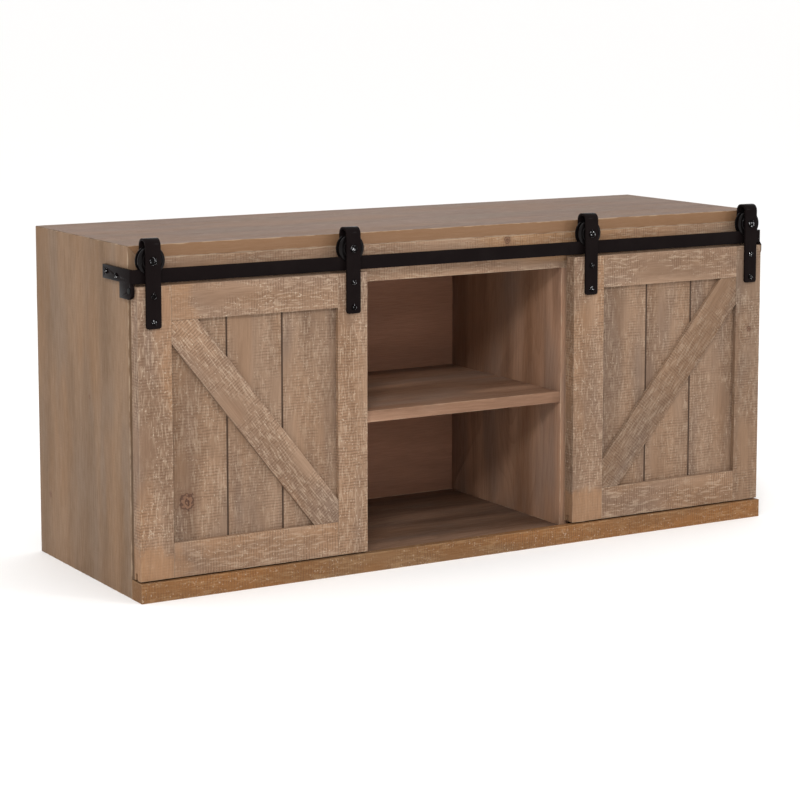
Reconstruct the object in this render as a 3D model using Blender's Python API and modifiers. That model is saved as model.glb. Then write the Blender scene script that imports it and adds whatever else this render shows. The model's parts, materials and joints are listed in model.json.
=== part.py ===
"""Low farmhouse TV stand with two barn doors that roll on a flat steel rail.

A pine carcass holds two closed side bays and an open centre bay with one shelf. Two framed plank doors
hang from grooved wheels on a flat bar, whose ends bend back and are screwed to the carcass sides.

Units are metres and +Z is up. The front faces -Y. The origin is on the floor, under the centre of the
object's box. Every height is measured from the floor and every depth from the carcass front face.
"""

import math

import bmesh
import bpy
from mathutils import Matrix, Vector

# Overall size
WIDTH = 1.220
HEIGHT = 0.555
CARCASS_DEPTH = 0.374
GAP = 0.0003

# How far a cutter reaches past the piece that it cuts
CUT_PAST = 0.010

# Carcass boards
SIDE_THICK = 0.020
TOP_THICK = 0.020
DIVIDER_THICK = 0.018
SHELF_THICK = 0.019
BOTTOM_THICK = 0.018
HEADER_THICK = 0.018
BACK_THICK = 0.006
HEADER_LOW = 0.474
CENTRE_BAY_WIDTH = 0.397
SHELF_TOP = 0.259
SHELF_SETBACK = 0.002
FLOOR_TOP = 0.023
BACK_SETIN = 0.019

# Base rail: a deep timber in front of the carcass, with a stopped rebate behind its lip
BASE_REACH = 0.037
BASE_HEIGHT = 0.031
BASE_LIP = 0.014

# Doors
DOOR_WIDTH = 0.405
DOOR_EDGE_INSET = 0.0015
DOOR_LOW = 0.0335
DOOR_HIGH = 0.494
DOOR_FRONT = 0.031
DOOR_THICK = 0.024
DOOR_RAIL_HEIGHT = 0.055
STILE_WIDTHS = {"left": (0.057, 0.054), "right": (0.062, 0.054)}
BRACE_CORNERS = {"left": (0.0445, 0.036), "right": (0.034, 0.048)}
PLANK_COUNT = 3
PLANK_RECESS = 0.008
PLANK_THICK = 0.012
GROOVE_DEPTH = 0.006

# Guide that keeps each door's lower edge in line
GUIDE_SLOT_WIDTH = 0.0066
GUIDE_SLOT_DEPTH = 0.011
GUIDE_SLOT_CENTRE = 0.016
GUIDE_LENGTH = 0.030
GUIDE_FOOT_WIDTH = 0.013
GUIDE_FOOT_HEIGHT = 0.004
GUIDE_TONGUE = 0.005
GUIDE_INSET = 0.028
GUIDE_TOP_ROOM = 0.003

# Flat rail bar, with its ends bent back along the carcass sides
BAR_THICK = 0.005
BAR_CENTRE = 0.022
BAR_LOW = 0.498
BAR_HIGH = 0.520
BAR_BEND = 0.007
ARM_BACK = 0.084
ARM_SCREWS = ((0.070, 0.5105), (0.031, 0.5065))
LUG_LOW = 0.4735
LUG_BACK = 0.020
LUG_CORNER = 0.012
LUG_OVERLAP = 0.004

# Door stops
BUMPER_DEPTH = 0.017
BUMPER_HEIGHT = 0.4875
BUMPER_STEM = 0.003
BUMPER_PAD = 0.0048
BUMPER_HEAD = 0.0016

# Hangers: flat straps bent over the wheels
STRAP_WIDTH = 0.025
STRAP_THICK = 0.004
STRAP_HIGH = 0.568
STRAP_LOW = 0.4285
STRAP_BACK_LOW = 0.520
STRAP_BEND = 0.0115
STRAP_CORNER = 0.004
STRAP_BACK_FACE = 0.009
HANGER_INSETS = {"left": (0.026, 0.027), "right": (0.033, 0.026)}
STRAP_SCREWS = (0.479, 0.4385)

# Wheels and their axles
WHEEL_RADIUS = 0.023
WHEEL_THICK = 0.013
ROLL_RADIUS = 0.013
WHEEL_GROOVE = 0.0064
WHEEL_DISH = 0.0012
AXLE_RADIUS = 0.004
AXLE_CUT_LENGTH = 0.06
AXLE_HEIGHT = BAR_HIGH + GAP + ROLL_RADIUS
AXLE_HEAD_RADIUS = 0.0065
AXLE_HEAD_HEIGHT = 0.0035
NUT_RADIUS = 0.0075
NUT_HEIGHT = 0.0035

# Wood screws
SCREW_RADIUS = 0.002
SCREW_LENGTH = 0.013
SCREW_HEAD_RADIUS = 0.0045
SCREW_HEAD_HEIGHT = 0.0024

# Places worked out from the sizes above
FRONT_REACH = DOOR_FRONT + GAP + STRAP_THICK + GAP + AXLE_HEAD_HEIGHT
FACE_Y = (FRONT_REACH - CARCASS_DEPTH) / 2
BACK_FACE = CARCASS_DEPTH - BACK_SETIN
UNDER_TOP = HEIGHT - TOP_THICK
STRAP_FRONT = DOOR_FRONT + GAP + STRAP_THICK
ROUND_STEPS = 32
SMALL_STEPS = 20

SIDES = {"left": -1, "right": 1}


def at(depth):
    """World Y of a depth behind the carcass front face. A negative depth is in front of it."""
    return FACE_Y + depth


def finish(name, red, green, blue, roughness, metallic=0.0):
    """A Principled BSDF of one colour."""
    made = bpy.data.materials.new(name)
    made.use_nodes = True
    shader = made.node_tree.nodes["Principled BSDF"]
    shader.inputs["Base Color"].default_value = (red, green, blue, 1.0)
    shader.inputs["Roughness"].default_value = roughness
    shader.inputs["Metallic"].default_value = metallic
    return made


def place(name, mesh, finish_of, spot=(0, 0, 0), parent=None, group=None):
    """An object of this mesh, with its origin at a world position."""
    made = bpy.data.objects.new(name, mesh)
    group.objects.link(made)
    made.location = Vector(spot) - (parent.location if parent else Vector())
    made.parent = parent
    if finish_of:
        mesh.materials.append(finish_of)
    return made


def box_mesh(name, low, high, middle):
    """A box between two corners, measured from its object's origin."""
    low, high, middle = Vector(low), Vector(high), Vector(middle)
    shape = bmesh.new()
    centre = Matrix.Translation((low + high) / 2 - middle)
    bmesh.ops.create_cube(shape, size=1.0, matrix=centre @ Matrix.Diagonal((*(high - low), 1.0)))
    mesh = bpy.data.meshes.new(name)
    shape.to_mesh(mesh)
    shape.free()
    return mesh


def board(name, low, high, finish_of, parent, group):
    """A straight board between two world corners, with its origin at its centre."""
    middle = (Vector(low) + Vector(high)) / 2
    return place(name, box_mesh(name, low, high, middle), finish_of, middle, parent, group)


def arc(centre, radius, start, end, steps=5):
    """Points along an arc, from one angle to another in degrees."""
    angles = [math.radians(start + (end - start) * i / steps) for i in range(steps + 1)]
    return [(centre[0] + radius * math.cos(a), centre[1] + radius * math.sin(a)) for a in angles]


def plate_mesh(name, outline, thickness, facing):
    """A flat outline as a solid plate. Its thickness runs along the axis that it faces, X, Y or Z.

    The outline's pairs are (y, z) for X, (x, z) for Y and (x, y) for Z.
    """
    curve = bpy.data.curves.new(name, "CURVE")
    curve.dimensions = "2D"
    curve.fill_mode = "BOTH"
    curve.extrude = thickness / 2
    spline = curve.splines.new("POLY")
    spline.points.add(len(outline) - 1)
    for point, (across, along) in zip(spline.points, outline):
        point.co = (across, along, 0.0, 1.0)
    spline.use_cyclic_u = True
    drawn = bpy.data.objects.new(name, curve)
    bpy.context.scene.collection.objects.link(drawn)
    graph = bpy.context.evaluated_depsgraph_get()
    mesh = bpy.data.meshes.new_from_object(drawn.evaluated_get(graph))
    bpy.data.objects.remove(drawn)
    turns = {
        "X": Matrix(((0, 0, 1, 0), (1, 0, 0, 0), (0, 1, 0, 0), (0, 0, 0, 1))),
        "Y": Matrix.Rotation(math.radians(90), 4, "X"),
        "Z": Matrix.Identity(4),
    }
    mesh.transform(turns[facing])
    shape = bmesh.new()
    shape.from_mesh(mesh)
    bmesh.ops.remove_doubles(shape, verts=shape.verts, dist=1e-6)
    bmesh.ops.recalc_face_normals(shape, faces=shape.faces)
    bmesh.ops.dissolve_limit(shape, angle_limit=0.001, verts=shape.verts, edges=shape.edges)
    shape.to_mesh(mesh)
    shape.free()
    return mesh


def turned_mesh(name, profile, steps, axis_turn):
    """A turned solid. The profile's (radius, height) pairs run down its outer side, from the axis to the axis
    or round a closed ring, and axis_turn lays its +Z axis along the direction that it needs."""
    mesh = bpy.data.meshes.new(name)
    spun = bpy.data.objects.new(name, mesh)
    shape = bmesh.new()
    points = [shape.verts.new((radius, 0.0, height)) for radius, height in profile]
    ring = profile[0][0] > 0
    ends = points[1:] + points[:1] if ring else points[1:]
    for start, end in zip(points, ends):
        shape.edges.new((start, end))
    shape.to_mesh(mesh)
    shape.free()
    bpy.context.scene.collection.objects.link(spun)
    screw = spun.modifiers.new("Turn", "SCREW")
    screw.steps = steps
    screw.render_steps = steps
    screw.use_merge_vertices = True
    screw.merge_threshold = 0.00001
    graph = bpy.context.evaluated_depsgraph_get()
    made = bpy.data.meshes.new_from_object(spun.evaluated_get(graph))
    bpy.data.objects.remove(spun)
    bpy.data.meshes.remove(mesh)
    shape = bmesh.new()
    shape.from_mesh(made)
    bmesh.ops.remove_doubles(shape, verts=shape.verts, dist=1e-6)
    bmesh.ops.recalc_face_normals(shape, faces=shape.faces)
    shape.to_mesh(made)
    shape.free()
    made.transform(axis_turn)
    made.shade_smooth()
    made.set_sharp_from_angle(angle=math.radians(30))
    made.name = name
    return made


TOWARDS_FRONT = Matrix.Rotation(math.radians(90), 4, "X")
TOWARDS = {
    "left": Matrix.Rotation(math.radians(-90), 4, "Y"),
    "right": Matrix.Rotation(math.radians(90), 4, "Y"),
}


class Workshop:
    """The collections, the finishes and the cutters that the pieces share."""

    def __init__(self):
        self.parts = self.collection("tv_stand")
        self.helpers = self.collection("cutters")
        self.pine = finish("weathered_pine", 0.36, 0.24, 0.15, 0.75)
        self.door_pine = finish("whitewashed_pine", 0.42, 0.30, 0.21, 0.80)
        self.steel = finish("black_steel", 0.010, 0.010, 0.011, 0.45, 0.6)
        self.rubber = finish("black_rubber", 0.012, 0.012, 0.012, 0.70)
        self.nylon = finish("black_nylon", 0.015, 0.015, 0.016, 0.40)

    @staticmethod
    def collection(name):
        """A new collection in the scene."""
        made = bpy.data.collections.new(name)
        bpy.context.scene.collection.children.link(made)
        return made

    def pivot(self, name, spot):
        """An empty that a moving sub-assembly hangs from."""
        made = bpy.data.objects.new(name, None)
        self.parts.objects.link(made)
        made.location = spot
        return made

    def hide(self, cutter):
        """Marks an object as a cutter."""
        cutter.hide_render = True
        cutter.display_type = "WIRE"
        return cutter

    def box_cutter(self, name, low, high):
        """A box that is cut away."""
        return self.hide(board(name, low, high, None, None, self.helpers))

    def hole_cutter(self, name, spot, radius, length, turn):
        """A round hole, centred on a world position."""
        profile = [(0.0, length / 2), (radius, length / 2), (radius, -length / 2), (0.0, -length / 2)]
        mesh = turned_mesh(name, profile, SMALL_STEPS, turn)
        return self.hide(place(name, mesh, None, spot, None, self.helpers))

    @staticmethod
    def cut(piece, cutter, operation="DIFFERENCE"):
        """A live Boolean on a piece."""
        made = piece.modifiers.new(cutter.name, "BOOLEAN")
        made.object = cutter
        made.operation = operation
        made.solver = "EXACT"


def carcass(shop):
    """The fixed wooden box. Returns its two side panels, which the rail is screwed to."""
    half = WIDTH / 2
    inner = half - SIDE_THICK
    group, pine = shop.parts, shop.pine
    root = shop.pivot("carcass", (0, 0, 0))

    # The top and the sides meet in a mitre at the two upper corners.
    slack = GAP / math.sqrt(2)
    top_outline = [
        (-half + slack, HEIGHT), (-inner + slack, UNDER_TOP),
        (inner - slack, UNDER_TOP), (half - slack, HEIGHT),
    ]
    mesh = plate_mesh("top_board", top_outline, CARCASS_DEPTH, "Y")
    place("top_board", mesh, pine, (0, at(CARCASS_DEPTH / 2), 0), root, group)

    sides = {}
    for side, sign in SIDES.items():
        outline = [
            (sign * half, 0), (sign * half, HEIGHT - slack),
            (sign * inner, UNDER_TOP - slack), (sign * inner, 0),
        ]
        name = f"{side}_side_panel"
        mesh = plate_mesh(name, outline, CARCASS_DEPTH, "Y")
        sides[side] = place(name, mesh, pine, (0, at(CARCASS_DEPTH / 2), 0), root, group)

    reach = inner - GAP
    board(
        "header_rail",
        (-reach, at(0), HEADER_LOW), (reach, at(HEADER_THICK), UNDER_TOP - GAP), pine, root, group,
    )
    board(
        "bottom_board",
        (-reach, at(GAP), FLOOR_TOP - BOTTOM_THICK), (reach, at(CARCASS_DEPTH), FLOOR_TOP), pine, root, group,
    )
    board(
        "back_panel",
        (-reach, at(BACK_FACE), FLOOR_TOP + GAP), (reach, at(BACK_FACE + BACK_THICK), UNDER_TOP - GAP),
        pine, root, group,
    )

    notch = shop.box_cutter(
        "header_notch",
        (-reach, at(-HEADER_THICK), HEADER_LOW - GAP), (reach, at(HEADER_THICK + GAP), HEIGHT),
    )
    bay = CENTRE_BAY_WIDTH / 2
    for side, sign in SIDES.items():
        edges = sorted((sign * bay, sign * (bay + DIVIDER_THICK)))
        divider = board(
            f"{side}_divider",
            (edges[0], at(GAP), FLOOR_TOP + GAP), (edges[1], at(BACK_FACE - GAP), UNDER_TOP - GAP),
            pine, root, group,
        )
        shop.cut(divider, notch)
    board(
        "centre_shelf",
        (-bay + GAP, at(SHELF_SETBACK), SHELF_TOP - SHELF_THICK), (bay - GAP, at(BACK_FACE - GAP), SHELF_TOP),
        pine, root, group,
    )

    base = board(
        "front_base_rail", (-half, at(-BASE_REACH), 0), (half, at(-GAP), BASE_HEIGHT), pine, root, group
    )
    rebate = shop.box_cutter(
        "base_rebate", (-inner, at(BASE_LIP - BASE_REACH), FLOOR_TOP),
        (inner, at(CUT_PAST), BASE_HEIGHT + CUT_PAST),
    )
    shop.cut(base, rebate)
    return root, sides


def wood_screw(shop, name, spot, turn, parent):
    """A pan-head wood screw. Its head's underside is at the spot and its head faces along the turn's +Z."""
    dome = [
        (SCREW_HEAD_RADIUS * math.cos(a), SCREW_HEAD_HEIGHT * (0.35 + 0.65 * math.sin(a)))
        for a in (math.radians(step * 22.5) for step in range(3, -1, -1))
    ]
    shank = [(SCREW_RADIUS, 0.0), (SCREW_RADIUS, -SCREW_LENGTH * 0.8), (0.0, -SCREW_LENGTH)]
    profile = [(0.0, SCREW_HEAD_HEIGHT), *dome, (SCREW_HEAD_RADIUS, 0.0), *shank]
    mesh = turned_mesh(name, profile, SMALL_STEPS, turn)
    return place(name, mesh, shop.steel, spot, parent, shop.parts)


def rail(shop, root, sides):
    """The flat bar that the doors roll on, with its stop lugs, screws and bumpers."""
    half = WIDTH / 2
    front, rear = BAR_CENTRE + BAR_THICK / 2, BAR_CENTRE - BAR_THICK / 2
    outer = half + GAP + BAR_THICK
    bend_x = outer - BAR_BEND
    inside = BAR_BEND - BAR_THICK
    y_bend = at(-front + BAR_BEND)
    outline = [
        (-outer, at(ARM_BACK)),
        *arc((-bend_x, y_bend), BAR_BEND, 180, 270),
        *arc((bend_x, y_bend), BAR_BEND, 270, 360),
        (outer, at(ARM_BACK)), (half + GAP, at(ARM_BACK)),
        *arc((bend_x, y_bend), inside, 0, -90),
        *arc((-bend_x, y_bend), inside, -90, -180),
        (-half - GAP, at(ARM_BACK)),
    ]
    bar_height = BAR_HIGH - BAR_LOW
    mesh = plate_mesh("rail_bar", outline, bar_height, "Z")
    bar = place("rail_bar", mesh, shop.steel, (0, 0, (BAR_HIGH + BAR_LOW) / 2), root, shop.parts)

    low_arc = arc((at(-front + LUG_CORNER), LUG_LOW + LUG_CORNER), LUG_CORNER, 180, 270)
    lug_outline = [
        (at(-front + BAR_BEND), BAR_LOW + LUG_OVERLAP), (at(-front), BAR_LOW - LUG_OVERLAP), *low_arc,
        (at(LUG_BACK), LUG_LOW), (at(LUG_BACK), BAR_LOW + LUG_OVERLAP),
    ]
    for side, sign in SIDES.items():
        mesh = plate_mesh(f"{side}_lug", lug_outline, BAR_THICK, "X")
        lug_x = sign * (half + GAP + BAR_THICK / 2)
        lug = shop.hide(place(f"{side}_lug", mesh, None, (lug_x, 0, 0), None, shop.helpers))
        shop.cut(bar, lug, "UNION")

        hole = shop.hole_cutter(
            f"{side}_bumper_hole", (lug_x, at(-BUMPER_DEPTH), BUMPER_HEIGHT),
            BUMPER_STEM + GAP, 4 * BAR_THICK, TOWARDS[side],
        )
        shop.cut(bar, hole)
        for number, (depth, height) in enumerate(ARM_SCREWS, 1):
            spot = (sign * (outer + GAP), at(depth), height)
            hole = shop.hole_cutter(
                f"{side}_arm_hole_{number}", (sign * half, *spot[1:]),
                SCREW_RADIUS + GAP, 2 * SCREW_LENGTH, TOWARDS[side],
            )
            shop.cut(bar, hole)
            shop.cut(sides[side], hole)
            wood_screw(shop, f"{side}_arm_screw_{number}", spot, TOWARDS[side], root)
        bumper(shop, side, sign, root)


def bumper(shop, side, sign, root):
    """The rubber stop in one lug: a head outside, a stem through the lug and a pad that the door meets."""
    outer = WIDTH / 2 + GAP + BAR_THICK
    head = outer + GAP
    pad_top = head - WIDTH / 2
    profile = [
        (0.0, BUMPER_HEAD), (BUMPER_PAD * 0.8, BUMPER_HEAD), (BUMPER_PAD, BUMPER_HEAD / 2), (BUMPER_PAD, 0.0),
        (BUMPER_STEM, 0.0), (BUMPER_STEM, -pad_top - DOOR_EDGE_INSET + 2 * GAP),
        (0.0, -pad_top - DOOR_EDGE_INSET + 2 * GAP),
    ]
    name = f"{side}_door_stop"
    mesh = turned_mesh(name, profile, SMALL_STEPS, TOWARDS[side])
    place(name, mesh, shop.rubber, (sign * head, at(-BUMPER_DEPTH), BUMPER_HEIGHT), root, shop.parts)


def door(shop, side, sign):
    """One framed plank door, its brace and its hangers, on a pivot at the middle of its lower edge."""
    edge = sign * (WIDTH / 2 - DOOR_EDGE_INSET - DOOR_WIDTH / 2) - DOOR_WIDTH / 2
    pivot = shop.pivot(f"{side}_door", (edge + DOOR_WIDTH / 2, at(-DOOR_FRONT), DOOR_LOW))
    front, back = at(-DOOR_FRONT), at(DOOR_THICK - DOOR_FRONT)
    plank_front = at(PLANK_RECESS - DOOR_FRONT)
    plank_back = plank_front + PLANK_THICK
    pine, group = shop.door_pine, shop.parts
    left_stile, right_stile = STILE_WIDTHS[side]
    left, right = edge + left_stile, edge + DOOR_WIDTH - right_stile
    low, high = DOOR_LOW + DOOR_RAIL_HEIGHT, DOOR_HIGH - DOOR_RAIL_HEIGHT

    stiles = [
        board(
            f"{side}_door_left_stile",
            (edge, front, DOOR_LOW), (left, back, DOOR_HIGH), pine, pivot, group,
        ),
        board(
            f"{side}_door_right_stile",
            (right, front, DOOR_LOW), (edge + DOOR_WIDTH, back, DOOR_HIGH), pine, pivot, group,
        ),
    ]
    rails = [
        board(
            f"{side}_door_bottom_rail",
            (left + GAP, front, DOOR_LOW), (right - GAP, back, low), pine, pivot, group,
        ),
        board(
            f"{side}_door_top_rail",
            (left + GAP, front, high), (right - GAP, back, DOOR_HIGH), pine, pivot, group,
        ),
    ]
    panel_groove = shop.box_cutter(
        f"{side}_panel_groove",
        (left - GROOVE_DEPTH, plank_front - GAP, low - GROOVE_DEPTH),
        (right + GROOVE_DEPTH, plank_back + GAP, high + GROOVE_DEPTH),
    )
    for piece in (*stiles, *rails):
        shop.cut(piece, panel_groove)
    slot_y = at(-GUIDE_SLOT_CENTRE)
    guide_slot = shop.box_cutter(
        f"{side}_guide_slot",
        (edge - CUT_PAST, slot_y - GUIDE_SLOT_WIDTH / 2, DOOR_LOW - CUT_PAST),
        (edge + DOOR_WIDTH + CUT_PAST, slot_y + GUIDE_SLOT_WIDTH / 2, DOOR_LOW + GUIDE_SLOT_DEPTH),
    )
    for piece in (*stiles, rails[0]):
        shop.cut(piece, guide_slot)

    tongue = GROOVE_DEPTH - GAP
    seams = [left + (right - left) * i / PLANK_COUNT for i in range(PLANK_COUNT + 1)]
    seams[0] -= tongue + GAP
    seams[-1] += tongue + GAP
    for number, (start, end) in enumerate(zip(seams, seams[1:]), 1):
        board(
            f"{side}_door_plank_{number}",
            (start + GAP, plank_front, low - tongue), (end - GAP, plank_back, high + tongue),
            pine, pivot, group,
        )
    brace(shop, side, pivot, (left + GAP, low + GAP), (right - GAP, high - GAP))
    hangers(shop, side, edge, pivot, stiles)
    return pivot


def brace(shop, side, pivot, low, high):
    """The diagonal board across one door, mitred into two corners of its frame."""
    across, along = BRACE_CORNERS[side]
    (left, bottom), (right, top) = low, high
    if side == "left":
        outline = [
            (left, top), (left, top - along), (right - across, bottom),
            (right, bottom), (right, bottom + along), (left + across, top),
        ]
    else:
        outline = [
            (right, top), (right - across, top), (left, bottom + along),
            (left, bottom), (left + across, bottom), (right, top - along),
        ]
    middle = Vector(((left + right) / 2, at(-DOOR_FRONT + (PLANK_RECESS - GAP) / 2), (bottom + top) / 2))
    outline = [(x - middle.x, z - middle.z) for x, z in outline]
    name = f"{side}_door_brace"
    mesh = plate_mesh(name, outline, PLANK_RECESS - GAP, "Y")
    place(name, mesh, shop.door_pine, middle, pivot, shop.parts)


def hangers(shop, side, edge, pivot, stiles):
    """The two straps of one door, each with its wheel, axle, nut and screws."""
    from_left, from_right = HANGER_INSETS[side]
    spots = {"left": edge + from_left, "right": edge + DOOR_WIDTH - from_right}
    for (place_name, x), stile in zip(spots.items(), stiles):
        hanger(shop, f"{side}_door_{place_name}", x, pivot, stile)


def strap_outline():
    """The strap from the side, as (y, z) pairs: a front leg, a bend over the top and a short back leg."""
    front, back = at(-STRAP_FRONT), at(-STRAP_BACK_FACE)
    inner = STRAP_BEND - STRAP_THICK
    top = STRAP_HIGH - STRAP_BEND
    outside = [
        *arc((front + STRAP_BEND, top), STRAP_BEND, 180, 90),
        *arc((back - STRAP_BEND, top), STRAP_BEND, 90, 0),
    ]
    inside = [
        *arc((back - STRAP_BEND, top), inner, 0, 90),
        *arc((front + STRAP_BEND, top), inner, 90, 180),
    ]
    return [
        (front, STRAP_LOW), *outside, (back, STRAP_BACK_LOW), (back - STRAP_THICK, STRAP_BACK_LOW),
        *inside, (front + STRAP_THICK, STRAP_LOW),
    ]


def hanger(shop, name, x, pivot, stile):
    """One strap over its wheel, screwed to a stile."""
    mesh = plate_mesh(f"{name}_strap", strap_outline(), STRAP_WIDTH, "X")
    shape = bmesh.new()
    shape.from_mesh(mesh)
    corners = [
        edge for edge in shape.edges
        if all(vert.co.z < STRAP_LOW + GAP for vert in edge.verts) and edge.calc_length() < STRAP_WIDTH / 2
    ]
    bmesh.ops.bevel(
        shape, geom=corners, offset=STRAP_CORNER, offset_type="OFFSET", segments=3, profile=0.5,
        affect="EDGES",
    )
    shape.to_mesh(mesh)
    shape.free()
    strap = place(f"{name}_strap", mesh, shop.steel, (x, 0, 0), pivot, shop.parts)

    wheel_y = at(-BAR_CENTRE)
    axle_hole = shop.hole_cutter(
        f"{name}_axle_hole", (x, wheel_y, AXLE_HEIGHT), AXLE_RADIUS + GAP, AXLE_CUT_LENGTH, TOWARDS_FRONT
    )
    shop.cut(strap, axle_hole)
    for number, height in enumerate(STRAP_SCREWS, 1):
        spot = (x, at(-STRAP_FRONT - GAP), height)
        hole = shop.hole_cutter(
            f"{name}_screw_hole_{number}", (x, at(-DOOR_FRONT), height),
            SCREW_RADIUS + GAP, 2 * SCREW_LENGTH - STRAP_THICK, TOWARDS_FRONT,
        )
        shop.cut(strap, hole)
        shop.cut(stile, hole)
        wood_screw(shop, f"{name}_strap_screw_{number}", spot, TOWARDS_FRONT, pivot)
    wheel(shop, name, (x, wheel_y, AXLE_HEIGHT), pivot)
    axle(shop, name, x, pivot, axle_hole)


def wheel(shop, name, spot, pivot):
    """A grooved wheel that straddles the bar, with its origin on its axle."""
    hub = shop.pivot(f"{name}_wheel_pivot", spot)
    hub.location = Vector(spot) - pivot.location
    hub.parent = pivot
    half, groove = WHEEL_THICK / 2, WHEEL_GROOVE / 2
    bore = AXLE_RADIUS + GAP
    rim = WHEEL_RADIUS - WHEEL_DISH
    side = [(bore, half), (AXLE_HEAD_RADIUS, half), (WHEEL_RADIUS * 0.8, half - WHEEL_DISH / 2), (rim, half)]
    lip = [(WHEEL_RADIUS, half - WHEEL_DISH), (WHEEL_RADIUS, groove + WHEEL_DISH), (ROLL_RADIUS, groove)]
    upper = side + lip
    profile = upper + [(radius, -height) for radius, height in reversed(upper)]
    mesh = turned_mesh(f"{name}_wheel", profile, ROUND_STEPS, TOWARDS_FRONT)
    made = place(f"{name}_wheel", mesh, shop.steel, (0, 0, 0), None, shop.parts)
    made.parent = hub


def axle(shop, name, x, pivot, axle_hole):
    """The bolt that a wheel turns on, and the hexagonal nut behind the strap's back leg."""
    reach = STRAP_FRONT - STRAP_BACK_FACE + NUT_HEIGHT + 2 * GAP
    profile = [
        (0.0, AXLE_HEAD_HEIGHT), (AXLE_HEAD_RADIUS * 0.7, AXLE_HEAD_HEIGHT),
        (AXLE_HEAD_RADIUS, AXLE_HEAD_HEIGHT * 0.6), (AXLE_HEAD_RADIUS, 0.0),
        (AXLE_RADIUS, 0.0), (AXLE_RADIUS, -reach), (0.0, -reach),
    ]
    mesh = turned_mesh(f"{name}_axle_bolt", profile, SMALL_STEPS, TOWARDS_FRONT)
    spot = (x, at(-STRAP_FRONT - GAP), AXLE_HEIGHT)
    place(f"{name}_axle_bolt", mesh, shop.steel, spot, pivot, shop.parts)

    mesh = plate_mesh(f"{name}_axle_nut", arc((0.0, 0.0), NUT_RADIUS, 0, 300), NUT_HEIGHT, "Y")
    spot = (x, at(-STRAP_BACK_FACE + GAP + NUT_HEIGHT / 2), AXLE_HEIGHT)
    nut = place(f"{name}_axle_nut", mesh, shop.steel, spot, pivot, shop.parts)
    shop.cut(nut, axle_hole)


def guide(shop, side, sign, root):
    """The T-shaped guide on the base rail, whose tongue runs in the slot under one door."""
    inner_edge = sign * (WIDTH / 2 - DOOR_EDGE_INSET - DOOR_WIDTH)
    x = inner_edge + sign * GUIDE_INSET
    y = at(-GUIDE_SLOT_CENTRE)
    foot = FLOOR_TOP + GAP + GUIDE_FOOT_HEIGHT
    top = DOOR_LOW + GUIDE_SLOT_DEPTH - GUIDE_TOP_ROOM
    half_foot, half_tongue = GUIDE_FOOT_WIDTH / 2, GUIDE_TONGUE / 2
    outline = [
        (-half_foot, FLOOR_TOP + GAP), (half_foot, FLOOR_TOP + GAP), (half_foot, foot), (half_tongue, foot),
        (half_tongue, top), (-half_tongue, top), (-half_tongue, foot), (-half_foot, foot),
    ]
    mesh = plate_mesh(f"{side}_door_guide", outline, GUIDE_LENGTH, "X")
    place(f"{side}_door_guide", mesh, shop.nylon, (x, y, 0), root, shop.parts)


def main():
    """Builds the whole stand in an empty scene."""
    for old in list(bpy.data.objects):
        bpy.data.objects.remove(old, do_unlink=True)
    shop = Workshop()
    root, sides = carcass(shop)
    rail(shop, root, sides)
    for side, sign in SIDES.items():
        door(shop, side, sign)
        guide(shop, side, sign, root)


main()
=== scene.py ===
"""Looks of a low pine TV stand whose two plank doors roll on a flat black steel rail.

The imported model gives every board, strap and wheel its size and place. Each board is copied, its arrises are
eased and it is dressed as sawn pine that follows its own grain. The steel is remade with broken edges, turned
wheels and domed bolts. Lengths are metres unless a name says otherwise, +Z is up and the doors face -Y.
"""

import json
import logging
import math
from dataclasses import dataclass, field
from enum import Enum
from functools import partial
from typing import Callable, Iterable, Sequence

import bmesh
import bpy
from mathutils import Matrix, Vector

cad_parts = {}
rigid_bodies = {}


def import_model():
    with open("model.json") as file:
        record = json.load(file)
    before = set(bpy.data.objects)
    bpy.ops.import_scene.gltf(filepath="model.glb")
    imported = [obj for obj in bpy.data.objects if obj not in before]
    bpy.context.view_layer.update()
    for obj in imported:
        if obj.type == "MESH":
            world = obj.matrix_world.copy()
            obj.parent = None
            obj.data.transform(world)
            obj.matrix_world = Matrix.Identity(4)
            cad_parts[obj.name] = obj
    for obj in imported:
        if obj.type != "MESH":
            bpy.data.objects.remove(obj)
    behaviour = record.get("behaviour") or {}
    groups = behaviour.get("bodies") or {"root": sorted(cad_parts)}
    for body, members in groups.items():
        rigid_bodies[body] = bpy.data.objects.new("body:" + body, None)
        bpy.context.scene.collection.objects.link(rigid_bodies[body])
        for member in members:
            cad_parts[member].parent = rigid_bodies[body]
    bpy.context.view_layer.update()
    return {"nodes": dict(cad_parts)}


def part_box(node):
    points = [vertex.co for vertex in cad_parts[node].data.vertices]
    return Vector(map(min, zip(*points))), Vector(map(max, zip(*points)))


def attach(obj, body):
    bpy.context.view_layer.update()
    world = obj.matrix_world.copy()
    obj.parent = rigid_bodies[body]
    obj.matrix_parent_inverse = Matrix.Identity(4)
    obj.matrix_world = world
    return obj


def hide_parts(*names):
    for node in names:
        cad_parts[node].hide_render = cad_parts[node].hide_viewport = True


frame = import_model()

MM = 0.001
WELD = 0.01 * MM
PRODUCT = {"operation": "MULTIPLY", "use_clamp": True}
log = logging.getLogger("tv_stand")

Finish = bpy.types.Material
Piece = bpy.types.Object
Socket = bpy.types.NodeSocket


def linear(colour: str) -> tuple[float, float, float, float]:
    """Turns an sRGB hex colour into linear light.

    Args:
        colour: six hex digits after a hash sign.

    Returns:
        Red, green, blue and alpha, as Blender's sockets take them.
    """
    shares = [int(colour[i:i + 2], 16) / 255 for i in (1, 3, 5)]
    red, green, blue = [s / 12.92 if s <= 0.04045 else ((s + 0.055) / 1.055) ** 2.4 for s in shares]
    return (red, green, blue, 1.0)


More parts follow.
